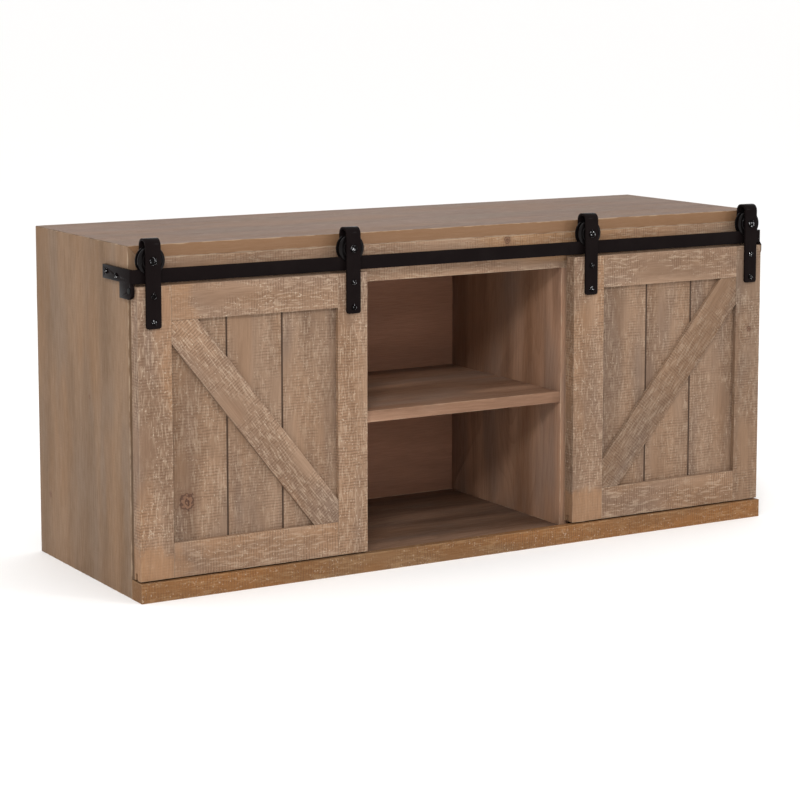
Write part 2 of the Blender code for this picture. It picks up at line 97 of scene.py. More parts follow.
def add(tree: bpy.types.NodeTree, kind: str, inputs: dict | None = None,
        **settings: object) -> bpy.types.Node:
    """Adds one node with its settings and its links.

    Args:
        tree: the material's node tree.
        kind: the node's type, without the ShaderNode prefix.
        inputs: socket name or number to a value, or to the output that is linked to it.
        settings: properties of the node itself.

    Returns:
        The new node.
    """
    made = tree.nodes.new("ShaderNode" + kind)
    for key, value in settings.items():
        setattr(made, key, value)
    for key, value in (inputs or {}).items():
        if isinstance(value, Socket):
            tree.links.new(value, made.inputs[key])
        else:
            made.inputs[key].default_value = value
    return made


class Way(Enum):
    """The way a board's grain runs, as the order of the world axes along, across and through it."""

    ACROSS_FRONT = (0, 2, 1)
    UPRIGHT = (2, 0, 1)
    UPRIGHT_SIDE = (2, 1, 0)
    FLAT = (0, 1, 2)


@dataclass(frozen=True)
class Knot:
    """A knot on a board's face, measured from the board's middle.

    Attributes:
        along: distance along the grain.
        across: distance across the grain.
        radius: radius of its dark heart.
    """

    along: float
    across: float
    radius: float


@dataclass(frozen=True)
class Tone:
    """What tells one board from the next.

    Attributes:
        seed: shifts the figure, so that no two boards share one.
        warmth: 0 is grey and weathered, 1 is orange-brown where the weathering never took.
        wash: how much of the saw's marks and the whitewash in them is left, 0 to 1.
        wear_and_gap_shade: above 0 the arrises are rubbed pale by wear, and below 0 a narrow band along them
            is darkened with painted shade, as in the gaps between the planks and their frame.
        flank: how much warmer its long narrow edges are than its faces, 0 to 1.
        shade: how much darker it is than its finish, 0 to 1. This is mostly painted shade, for boards that get
            less light: the floor of the bays, the planks sunk in their frames and the right door's boards; on
            the planks it is partly their own darker tone too.
        bare: middle along the grain, reach and strength of one smooth patch that the saw never marked.
        knots: up to two knots.
    """

    seed: float
    warmth: float = 0.35
    wash: float = 0.5
    wear_and_gap_shade: float = 0.7
    flank: float = 0.0
    shade: float = 0.0
    bare: tuple[float, float, float] = (0.0, 0.0, 0.0)
    knots: tuple[Knot, ...] = ()


@dataclass(frozen=True)
class SawnPine:
    """Pine from the band saw or the planer, stained, and washed thin with white.

    Attributes:
        name: what the finish is called.
        pale: the wood between the streaks.
        deep: the wood in the streaks and in the late rings.
        amber: the smooth wood that neither stain nor weather has reached.
        grey: the weathered wood.
        wash: the whitewash left on high fibres.
        saw: how strong the saw's marks are, 0 to 1.
        streak: how strong the streaks along the grain are, 0 to 1.
        gloss: the roughness between the fibres.
        shine: its specular level, low because the wood is dry and bare.
        row_shadow: the stain and the painted shade that lie in the saw's rows.
        crumb: the dried crumbs of whitewash.
        knot_halo: the darkened wood round a knot.
        knot_heart: the wood of the knot itself.
        knot_ring: the dark rings in and round the knot.
        gap_shade: the painted shade in the gaps along the planks' arrises.
    """

    name: str
    pale: str
    deep: str
    amber: str
    grey: str
    wash: str = "#c9b49b"
    saw: float = 1.0
    streak: float = 0.6
    gloss: float = 0.72
    shine: float = 0.3
    row_shadow: str = "#5d3f2b"
    crumb: str = "#d8c7b0"
    knot_halo: str = "#6a4c39"
    knot_heart: str = "#7d5a44"
    knot_ring: str = "#40251a"
    gap_shade: str = "#3a281c"

    def make(self) -> Finish:
        """Builds the finish.

        Figure, fibres and saw marks all follow the board's own coordinates, which each board carries as the
        attributes board, half, tone, trim, bare, knot_one and knot_two.

        Returns:
            The material.
        """
        made = bpy.data.materials.new(self.name)
        made.use_nodes = True
        tree = made.node_tree
        shader = tree.nodes["Principled BSDF"]
        shader.inputs["Specular IOR Level"].default_value = self.shine

        board = add(tree, "Attribute", attribute_name="board").outputs["Vector"]
        tone = add(tree, "Attribute", attribute_name="tone").outputs["Vector"]
        seed, warmth, wash = add(tree, "SeparateXYZ", {0: tone}).outputs
        shift = add(tree, "VectorMath", {0: (3.7, 1.9, 2.3), "Scale": seed}, operation="SCALE").outputs[0]
        wood = add(tree, "VectorMath", {0: board, 1: shift}, operation="ADD").outputs[0]

        halo, heart, ring = self._knots(tree, board)
        bare = self._bare(tree, board, wood)
        rough = add(tree, "Math", {0: 1.0, 1: bare}, operation="SUBTRACT", use_clamp=True).outputs[0]
        marked = add(tree, "Math", {0: wash, 1: rough}, **PRODUCT).outputs[0]
        torn = self._streaks(tree, wood, (11, 22, 22), 0.30, 0.50)
        left = add(tree, "Math", {0: marked, 1: torn}, **PRODUCT).outputs[0]
        fibre = self._streaks(tree, wood, (30, 620, 620), 0.34, 0.66, detail=3)
        rows, lines = [
            add(tree, "Math", {0: marks, 1: left}, **PRODUCT).outputs[0]
            for marks in self._saw_marks(tree, wood)
        ]

        colour = self._grown(tree, wood, warmth, bare, halo)
        colour = self._scaled(tree, colour, fibre, 1.05, 0.93)
        colour = self._sawn(tree, wood, colour, rows, lines, left)
        colour = self._coated(tree, colour, [
            (halo, 0.5, self.knot_halo), (heart, 0.7, self.knot_heart), (ring, 1.0, self.knot_ring),
        ])
        colour = self._worn_and_shaded(tree, board, wood, colour)
        tree.links.new(colour, shader.inputs["Base Color"])
        self._relieve(tree, shader, fibre, rows, lines)
        return made

    def _grown(self, tree: bpy.types.NodeTree, wood: Socket, warmth: Socket, bare: Socket,
               halo: Socket) -> Socket:
        """The colour of the wood before the saw: streaks, weathering, amber patches and growth rings.

        Args:
            tree: the material's node tree.
            wood: the board's coordinates in metres.
            warmth: how amber the board is.
            bare: 1 on its smooth patch.
            halo: 1 at a knot, falling to 0 around it.

        Returns:
            The colour.
        """
        soft = self._streaks(tree, wood, (2.2, 17, 17), 0.34, 0.66)
        grey = self._streaks(tree, wood, (4, 15, 15), 0.46, 0.70)
        patches = self._streaks(tree, wood, (3.4, 13, 13), 0.46, 0.62)
        warm = add(tree, "Math", {0: warmth, 1: patches}, **PRODUCT).outputs[0]
        rings = self._figure(tree, wood, halo)
        return self._coated(tree, linear(self.pale), [
            (soft, self.streak, self.deep), (grey, 0.75, self.grey), (warm, 1.0, self.amber),
            (bare, 0.8, self.amber), (rings, 0.30 * self.streak, self.deep),
        ])

    def _sawn(self, tree: bpy.types.NodeTree, wood: Socket, colour: Socket, rows: Socket, lines: Socket,
              left: Socket) -> Socket:
        """Lays the saw's marks over the wood: stain and painted shade in the rows, whitewash on the fibres and
        in crumbs.

        Args:
            tree: the material's node tree.
            wood: the board's coordinates in metres.
            colour: the wood's colour.
            rows: 1 in the rows across the grain.
            lines: 1 on the torn fibres along it.
            left: how much of the marks is left.

        Returns:
            The colour.
        """
        specks = self._streaks(tree, wood, (300, 300, 300), 0.62, 0.76, detail=1)
        crumbs = add(tree, "Math", {0: left, 1: specks}, **PRODUCT).outputs[0]
        # Painted shade in the sunk rows: darker in them, and a little lighter between them.
        colour = self._scaled(tree, colour, rows, 1.0 + 0.06 * self.saw, 1.0 - 0.16 * self.saw)
        return self._coated(tree, colour, [
            (rows, 0.42 * self.saw, self.row_shadow), (lines, 0.34 * self.saw, self.wash),
            (crumbs, 0.36 * self.saw, self.crumb),
        ])

    def _worn_and_shaded(self, tree: bpy.types.NodeTree, board: Socket, wood: Socket, colour: Socket) -> Socket:
        """Stains the edges and ends, rubs the arrises pale, and darkens with painted shade a band along the
        planks' arrises and the whole board.

        Args:
            tree: the material's node tree.
            board: the board's coordinates in metres, from its middle.
            wood: the same, shifted by the board's seed.
            colour: the wood's colour.

        Returns:
            The colour.
        """
        pale, gap_shade, end_grain, flank, shade = self._edges(tree, board, wood)
        colour = self._coated(tree, colour, [(flank, 1.0, self.amber)])
        # Darkens the whole board by its shade, which is mostly painted shade.
        colour = self._scaled(tree, colour, shade, 1.0, 0.0)
        return self._coated(tree, colour, [
            (end_grain, 0.55, self.deep), (pale, 0.6, self.wash), (gap_shade, 1.0, self.gap_shade),
        ])

    def _relieve(self, tree: bpy.types.NodeTree, shader: bpy.types.Node, fibre: Socket, rows: Socket,
                 lines: Socket) -> None:
        """Gives the wood its roughness and its relief, which is 0.3 mm deep.

        Args:
            tree: the material's node tree.
            shader: the surface that takes them.
            fibre: 1 on the hard fibres.
            rows: 1 in the saw's rows, which are sunk.
            lines: 1 on the torn fibres, which stand up.
        """
        rough = add(tree, "MapRange", {"Value": fibre, "To Min": self.gloss - 0.06,
                                       "To Max": self.gloss + 0.14})
        tree.links.new(rough.outputs[0], shader.inputs["Roughness"])
        depth = add(tree, "Math", {0: rows, 1: -0.9 * self.saw, 2: fibre}, operation="MULTIPLY_ADD")
        depth = add(tree, "Math", {0: lines, 1: 0.5 * self.saw, 2: depth.outputs[0]},
                    operation="MULTIPLY_ADD")
        relief = add(tree, "Bump", {"Strength": 0.5, "Distance": 0.3 * MM, "Height": depth.outputs[0]})
        tree.links.new(relief.outputs[0], shader.inputs["Normal"])

    @staticmethod
    def _coated(tree: bpy.types.NodeTree, colour: object, coats: Sequence[tuple]) -> Socket:
        """Lays coats of colour over a colour, one after the other.

        Args:
            tree: the material's node tree.
            colour: what lies under them.
            coats: for each, where it lies as a value from 0 to 1, how strong it is there, and its colour.

        Returns:
            The colour on top.
        """
        for place, strength, coat in coats:
            share = add(tree, "Math", {0: place, 1: strength}, **PRODUCT).outputs[0]
            laid = add(tree, "Mix", {0: share, 6: colour, 7: linear(coat)}, data_type="RGBA")
            colour = laid.outputs[2]
        return colour

    @staticmethod
    def _scaled(tree: bpy.types.NodeTree, colour: Socket, value: Socket, none: float, full: float) -> Socket:
        """A colour made lighter or darker: times none where the value is 0, and times full where it is 1."""
        share = add(tree, "MapRange", {"Value": value, "To Min": none, "To Max": full})
        return add(tree, "VectorMath", {0: colour, "Scale": share.outputs[0]}, operation="SCALE").outputs[0]

    @staticmethod
    def _streaks(tree: bpy.types.NodeTree, wood: Socket, pitch: Sequence[float], low: float, high: float,
                 detail: float = 2.0) -> Socket:
        """Soft streaks in the wood.

        Args:
            tree: the material's node tree.
            wood: the board's coordinates in metres.
            pitch: streaks to the metre along, across and through the board.
            low: the noise value that counts as none.
            high: the noise value that counts as full.
            detail: octaves of finer noise.

        Returns:
            A value from 0 to 1.
        """
        place = add(tree, "VectorMath", {0: wood, 1: pitch}, operation="MULTIPLY")
        noise = add(tree, "TexNoise", {"Vector": place.outputs[0], "Scale": 1.0, "Detail": detail})
        ranged = add(tree, "MapRange", {"Value": noise.outputs[0], "From Min": low, "From Max": high},
                     interpolation_type="SMOOTHSTEP")
        return ranged.outputs[0]

    @staticmethod
    def _figure(tree: bpy.types.NodeTree, wood: Socket, halo: Socket) -> Socket:
        """The growth rings, as the contour lines of a field that is drawn out along the grain.

        Args:
            tree: the material's node tree.
            wood: the board's coordinates in metres.
            halo: 1 at a knot, falling to 0 around it. The rings bend round it.

        Returns:
            1 on the dark late wood of a ring and 0 between the rings.
        """
        place = add(tree, "VectorMath", {0: wood, 1: (1.3, 11.0, 11.0)}, operation="MULTIPLY")
        growth = add(tree, "TexNoise", {"Vector": place.outputs[0], "Scale": 1.0, "Detail": 1.0})
        bent = add(tree, "Math", {0: halo, 1: 0.22, 2: growth.outputs[0]}, operation="MULTIPLY_ADD")
        turns = add(tree, "Math", {0: bent.outputs[0], 1: 22.0}, operation="MULTIPLY")
        tooth = add(tree, "Math", {0: turns.outputs[0]}, operation="FRACT")
        return add(tree, "Math", {0: tooth.outputs[0], 1: 3.5}, operation="POWER").outputs[0]

    def _saw_marks(self, tree: bpy.types.NodeTree, wood: Socket) -> tuple[Socket, Socket]:
        """The band saw's marks: rows straight across the grain, and torn fibres along it.

        The saw leaves a row every 2 mm. They are drawn about every 5 mm, so that they show.

        Args:
            tree: the material's node tree.
            wood: the board's coordinates in metres.

        Returns:
            The rows and the fibres, each from 0 to 1.
        """
        bands = add(tree, "TexWave", {"Vector": wood, "Scale": 66.0, "Distortion": 3.4, "Detail": 2.0,
                                      "Detail Scale": 0.45}, bands_direction="X")
        cut = add(tree, "MapRange", {"Value": bands.outputs["Fac"], "From Min": 0.45, "From Max": 0.95})
        broken = self._streaks(tree, wood, (90, 60, 60), 0.36, 0.54)
        across = add(tree, "Math", {0: cut.outputs[0], 1: broken}, **PRODUCT)
        return across.outputs[0], self._streaks(tree, wood, (55, 330, 330), 0.50, 0.64)

    def _bare(self, tree: bpy.types.NodeTree, board: Socket, wood: Socket) -> Socket:
        """The one smooth patch, with a ragged edge.

        Args:
            tree: the material's node tree.
            board: the board's coordinates in metres, from its middle.
            wood: the same, shifted by the board's seed.

        Returns:
            A value from 0 to 1.
        """
        patch = add(tree, "Attribute", attribute_name="bare").outputs["Vector"]
        middle, reach, strength = add(tree, "SeparateXYZ", {0: patch}).outputs
        along = add(tree, "SeparateXYZ", {0: board}).outputs[0]
        away = add(tree, "Math", {0: along, 1: middle}, operation="SUBTRACT")
        away = add(tree, "Math", {0: away.outputs[0]}, operation="ABSOLUTE")
        ragged = self._streaks(tree, wood, (14, 30, 30), 0.3, 0.7)
        away = add(tree, "Math", {0: ragged, 1: 0.02, 2: away.outputs[0]}, operation="MULTIPLY_ADD")
        inside = add(tree, "Math", {0: reach, 1: away.outputs[0]}, operation="SUBTRACT")
        full = add(tree, "MapRange", {"Value": inside.outputs[0], "From Min": 0.0, "From Max": 0.012})
        return add(tree, "Math", {0: full.outputs[0], 1: strength}, **PRODUCT).outputs[0]

    def _knots(self, tree: bpy.types.NodeTree, board: Socket) -> tuple[Socket, ...]:
        """Finds the knots.

        Args:
            tree: the material's node tree.
            board: the board's coordinates in metres, from its middle.

        Returns:
            The darkened wood round the knots, their hearts, and the dark rings in and round each heart.
        """
        found = []
        wobble = add(tree, "TexNoise", {"Vector": board, "Scale": 150.0, "Detail": 3.0})
        for name in ("knot_one", "knot_two"):
            knot = add(tree, "Attribute", attribute_name=name).outputs["Vector"]
            radius = add(tree, "SeparateXYZ", {0: knot}).outputs[2]
            flat = add(tree, "VectorMath", {0: board, 1: knot}, operation="SUBTRACT")
            oval = add(tree, "VectorMath", {0: flat.outputs[0], 1: (0.92, 1.0, 0.0)}, operation="MULTIPLY")
            reach = add(tree, "VectorMath", {0: oval.outputs[0]}, operation="LENGTH")
            safe = add(tree, "Math", {0: radius, 1: 0.1 * MM}, operation="MAXIMUM")
            radii = add(tree, "Math", {0: reach.outputs["Value"], 1: safe.outputs[0]}, operation="DIVIDE")
            away = add(tree, "Math", {0: wobble.outputs[0], 1: 1.3, 2: radii.outputs[0]},
                       operation="MULTIPLY_ADD").outputs[0]
            halo, heart, rim = [
                add(tree, "MapRange", {"Value": away, "From Min": none, "From Max": full},
                    interpolation_type="SMOOTHSTEP").outputs[0]
                for none, full in ((3.0, 1.2), (1.8, 1.3), (2.1, 1.4))
            ]
            turns = add(tree, "Math", {0: away, 1: 9.0}, operation="MULTIPLY")
            wave = add(tree, "Math", {0: turns.outputs[0]}, operation="SINE")
            dark = add(tree, "Math", {0: wave.outputs[0], 1: 0.9}, **PRODUCT)
            ring = add(tree, "Math", {0: dark.outputs[0], 1: rim}, **PRODUCT)
            found.append((halo, heart, ring.outputs[0]))
        return tuple(
            add(tree, "Math", {0: first, 1: second}, operation="MAXIMUM").outputs[0]
            for first, second in zip(*found)
        )

    def _edges(self, tree: bpy.types.NodeTree, board: Socket, wood: Socket) -> tuple[Socket, ...]:
        """Finds the arrises and the sawn ends.

        Args:
            tree: the material's node tree.
            board: the board's coordinates in metres, from its middle.
            wood: the same, shifted by the board's seed.

        Returns:
            The pale wear on the arrises, the painted shade in a band along them, the end grain, the stained
            long edges and the whole board's shade, which is mostly painted shade, each from 0 to 1.
        """
        half = add(tree, "Attribute", attribute_name="half").outputs["Vector"]
        reach = add(tree, "VectorMath", {0: board}, operation="ABSOLUTE")
        inside = add(tree, "VectorMath", {0: half, 1: reach.outputs[0]}, operation="SUBTRACT")
        along, across, through = add(tree, "SeparateXYZ", {0: inside.outputs[0]}).outputs
        # The second smallest distance to a face is the distance to the nearest arris.
        least = add(tree, "Math", {0: along, 1: across}, operation="MINIMUM").outputs[0]
        most = add(tree, "Math", {0: along, 1: across}, operation="MAXIMUM").outputs[0]
        upper = add(tree, "Math", {0: most, 1: through}, operation="MINIMUM").outputs[0]
        arris = add(tree, "Math", {0: least, 1: upper}, operation="MAXIMUM").outputs[0]
        ragged = self._streaks(tree, wood, (45, 90, 90), 0.30, 0.75, detail=3)
        width = add(tree, "Math", {0: ragged, 1: 2.6 * MM}, operation="MULTIPLY")
        rubbed = add(tree, "MapRange", {"Value": arris, "From Min": width.outputs[0], "From Max": 0.0})
        # A band within about 1.5 mm of each arris, darkened with painted shade where the tone's value is below
        # 0.
        near_gap = add(tree, "MapRange", {"Value": arris, "From Min": 1.9 * MM, "From Max": 1.1 * MM})
        end = add(tree, "MapRange", {"Value": along, "From Min": 0.5 * MM, "From Max": 0.1 * MM})
        edge = add(tree, "MapRange", {"Value": across, "From Min": 1.2 * MM, "From Max": 0.7 * MM})
        trim = add(tree, "Attribute", attribute_name="trim").outputs["Vector"]
        wear_and_gap_shade, stain, shade = add(tree, "SeparateXYZ", {0: trim}).outputs
        gap_strength = add(tree, "Math", {0: wear_and_gap_shade, 1: -1.0}, **PRODUCT).outputs[0]
        pale, gap_shade, flank = [
            add(tree, "Math", {0: place.outputs[0], 1: strength}, **PRODUCT).outputs[0]
            for place, strength in ((rubbed, wear_and_gap_shade), (near_gap, gap_strength), (edge, stain))
        ]
        return pale, gap_shade, end.outputs[0], flank, shade


@dataclass(frozen=True)
class PowderCoat:
    """A black skin: powder coat or oxide on mild steel, moulded nylon or rubber.

    The steel's coat gives a satin face with a fine orange peel. Rubber is the same skin, but dull.

    Attributes:
        name: what the finish is called.
        colour: the coat's colour.
        dust: the colour of the dust that lies on it.
        gloss: its roughness.
        shine: its specular level.
        worn: how much of it shows specks of bare steel, 0 to 1; they are partly wear and partly painted
            glints.
        glint_steel: the colour of the bare steel in the specks, bright from every side under the white sky.
    """

    name: str
    colour: str
    dust: str
    gloss: float
    shine: float = 0.2
    worn: float = 0.0
    glint_steel: str = "#d8d8da"

    def make(self) -> Finish:
        """Builds the finish.

        The coat's peel is 0.6 mm across, and is drawn at 1.2 mm so that it shows. Dust lies in clouds about
        35 mm across, and a speck of bare steel, partly wear and partly a painted glint, is about 2 mm across.

        Returns:
            The material.
        """
        made = bpy.data.materials.new(self.name)
        made.use_nodes = True
        tree = made.node_tree
        shader = tree.nodes["Principled BSDF"]
        shader.inputs["Specular IOR Level"].default_value = self.shine
        place = add(tree, "TexCoord").outputs["Object"]
        peel = add(tree, "TexNoise", {"Vector": place, "Scale": 1 / (1.2 * MM), "Detail": 2.0})
        cloud = add(tree, "TexNoise", {"Vector": place, "Scale": 1 / (35 * MM), "Detail": 3.0})
        share = add(tree, "MapRange", {"Value": cloud.outputs[0], "From Min": 0.45, "From Max": 0.8,
                                       "To Max": 0.5})
        colour = add(tree, "Mix", {0: share.outputs[0], 6: linear(self.colour), 7: linear(self.dust)},
                     data_type="RGBA")
        # Specks of bare steel, placed at random: partly wear, and partly painted glints, as they shine from
        # any side under the white sky.
        specks = add(tree, "TexNoise", {"Vector": place, "Scale": 1 / (1.9 * MM), "Detail": 0.0})
        steel = add(tree, "MapRange", {"Value": specks.outputs[0], "From Min": 0.66, "From Max": 0.73,
                                       "To Max": self.worn})
        tree.links.new(steel.outputs[0], shader.inputs["Metallic"])
        colour = add(tree, "Mix", {0: steel.outputs[0], 6: colour.outputs[2], 7: linear(self.glint_steel)},
                     data_type="RGBA")
        tree.links.new(colour.outputs[2], shader.inputs["Base Color"])
        rough = add(tree, "MapRange", {"Value": cloud.outputs[0], "From Min": 0.3, "From Max": 0.7,
                                       "To Min": self.gloss - 0.06, "To Max": self.gloss + 0.08})
        tree.links.new(rough.outputs[0], shader.inputs["Roughness"])
        relief = add(tree, "Bump", {"Strength": 0.25, "Distance": 0.08 * MM, "Height": peel.outputs[0]})
        tree.links.new(relief.outputs[0], shader.inputs["Normal"])
        return made


def only(piece: Piece) -> None:
    """Makes a piece the one selected and active object."""
    bpy.ops.object.select_all(action="DESELECT")
    piece.select_set(True)
    bpy.context.view_layer.objects.active = piece


def edit(piece: Piece, work: Callable[[bmesh.types.BMesh], None], mode: str = "EDGE") -> None:
    """Opens a piece in edit mode with nothing selected, and closes it again after the work.

    Args:
        piece: the piece to work on.
        work: what is done, given the open mesh to select in.
        mode: VERT, EDGE or FACE.
    """
    only(piece)
    bpy.ops.object.mode_set(mode="EDIT")
    bpy.ops.mesh.select_mode(type=mode)
    bpy.ops.mesh.select_all(action="DESELECT")
    work(bmesh.from_edit_mesh(piece.data))
    bpy.ops.object.mode_set(mode="OBJECT")


def pick(shape: bmesh.types.BMesh, piece: Piece, parts: Iterable, wanted: Callable[[object], bool]) -> None:
    """Selects the edges or faces that are wanted.

    Args:
        shape: the open mesh.
        piece: the piece that it belongs to.
        parts: its edges or faces.
        wanted: says which.
    """
    for part in [part for part in parts if wanted(part)]:
        part.select_set(True)
    shape.select_flush_mode()
    bmesh.update_edit_mesh(piece.data)


def apply_all(piece: Piece) -> None:
    """Applies every modifier of a piece, in order."""
    only(piece)
    for name in [modifier.name for modifier in piece.modifiers]:
        bpy.ops.object.modifier_apply(modifier=name)


def copied(node: str, name: str, whole: bool = True) -> Piece:
    """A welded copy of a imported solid.

    Args:
        node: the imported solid's name.
        name: the new piece's name.
        whole: whether its flat faces are made whole again, which suits a solid with no holes.

    Returns:
        The new piece, which stands for the solid.
    """
    piece = bpy.data.objects.new(name, frame["nodes"][node].data.copy())
    bpy.context.scene.collection.objects.link(piece)
    piece.data.materials.clear()
    only(piece)
    if piece.data.has_custom_normals:
        bpy.ops.mesh.customdata_custom_splitnormals_clear()

    def weld(_: bmesh.types.BMesh) -> None:
        """Merges the loose triangles."""
        bpy.ops.mesh.select_all(action="SELECT")
        bpy.ops.mesh.remove_doubles(threshold=WELD)
        if whole:
            bpy.ops.mesh.dissolve_limited(angle_limit=math.radians(0.4))

    edit(piece, weld)
    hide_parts(node)
    return piece


def turned(name: str, spot: Vector, towards: Vector, profile: Sequence[Sequence[float]], steps: int) -> Piece:
    """A piece turned on a lathe: a line drawn point by point, then spun.

    Args:
        name: the new piece's name.
        spot: the point on its axis that heights are measured from.
        towards: the way its axis points.
        profile: radius and height of each point, from its outer end to its inner end.
        steps: how many sides it has.

    Returns:
        The new piece.
    """
    bpy.ops.object.select_all(action="DESELECT")
    bpy.ops.mesh.primitive_plane_add(size=MM, location=spot)
    piece = bpy.context.active_object
    piece.name = name
    places = [spot + Vector((0, 0, radius)) + towards * height for radius, height in profile]

    def turn(_: bmesh.types.BMesh) -> None:
        """Draws the line and spins it."""
        bpy.ops.mesh.select_all(action="SELECT")
        bpy.ops.mesh.merge(type="CENTER")
        bpy.ops.transform.translate(value=places[0] - spot)
        for before, after in zip(places, places[1:]):
            bpy.ops.mesh.extrude_vertices_move(TRANSFORM_OT_translate={"value": after - before})
        bpy.ops.mesh.select_all(action="SELECT")
        bpy.ops.mesh.spin(steps=steps, angle=math.tau, center=spot, axis=towards)
        bpy.ops.mesh.select_all(action="SELECT")
        bpy.ops.mesh.remove_doubles(threshold=WELD)
        bpy.ops.mesh.normals_make_consistent(inside=False)

    edit(piece, turn, "VERT")
    bpy.ops.object.transform_apply(location=True, rotation=True, scale=True)
    return piece


def repeated(piece: Piece, name: str, shift: Vector) -> Piece:
    """A copy of a piece in another place, with a mesh of its own.

    Args:
        piece: the piece to copy.
        name: the copy's name.
        shift: from the piece to its copy.

    Returns:
        The copy.
    """
    only(piece)
    bpy.ops.object.duplicate(linked=False)
    made = bpy.context.active_object
    made.name = name
    made.location = shift
    bpy.ops.object.transform_apply(location=True, rotation=True, scale=True)
    return made


def finished(piece: Piece, body: str, finish: Finish, smooth: float = 35.0) -> Piece:
    """Dresses a piece and hangs it on its body.

    Args:
        piece: the piece, in its place.
        body: the body that it moves with.
        finish: its material.
        smooth: faces that meet at less than this angle in degrees look round.

    Returns:
        The same piece.
    """
    piece.data.materials.clear()
    piece.data.materials.append(finish)
    only(piece)
    bpy.ops.object.shade_smooth_by_angle(angle=math.radians(smooth))
    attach(piece, body)
    log.info("%s on %s: %d faces", piece.name, body, len(piece.data.polygons))
    return piece


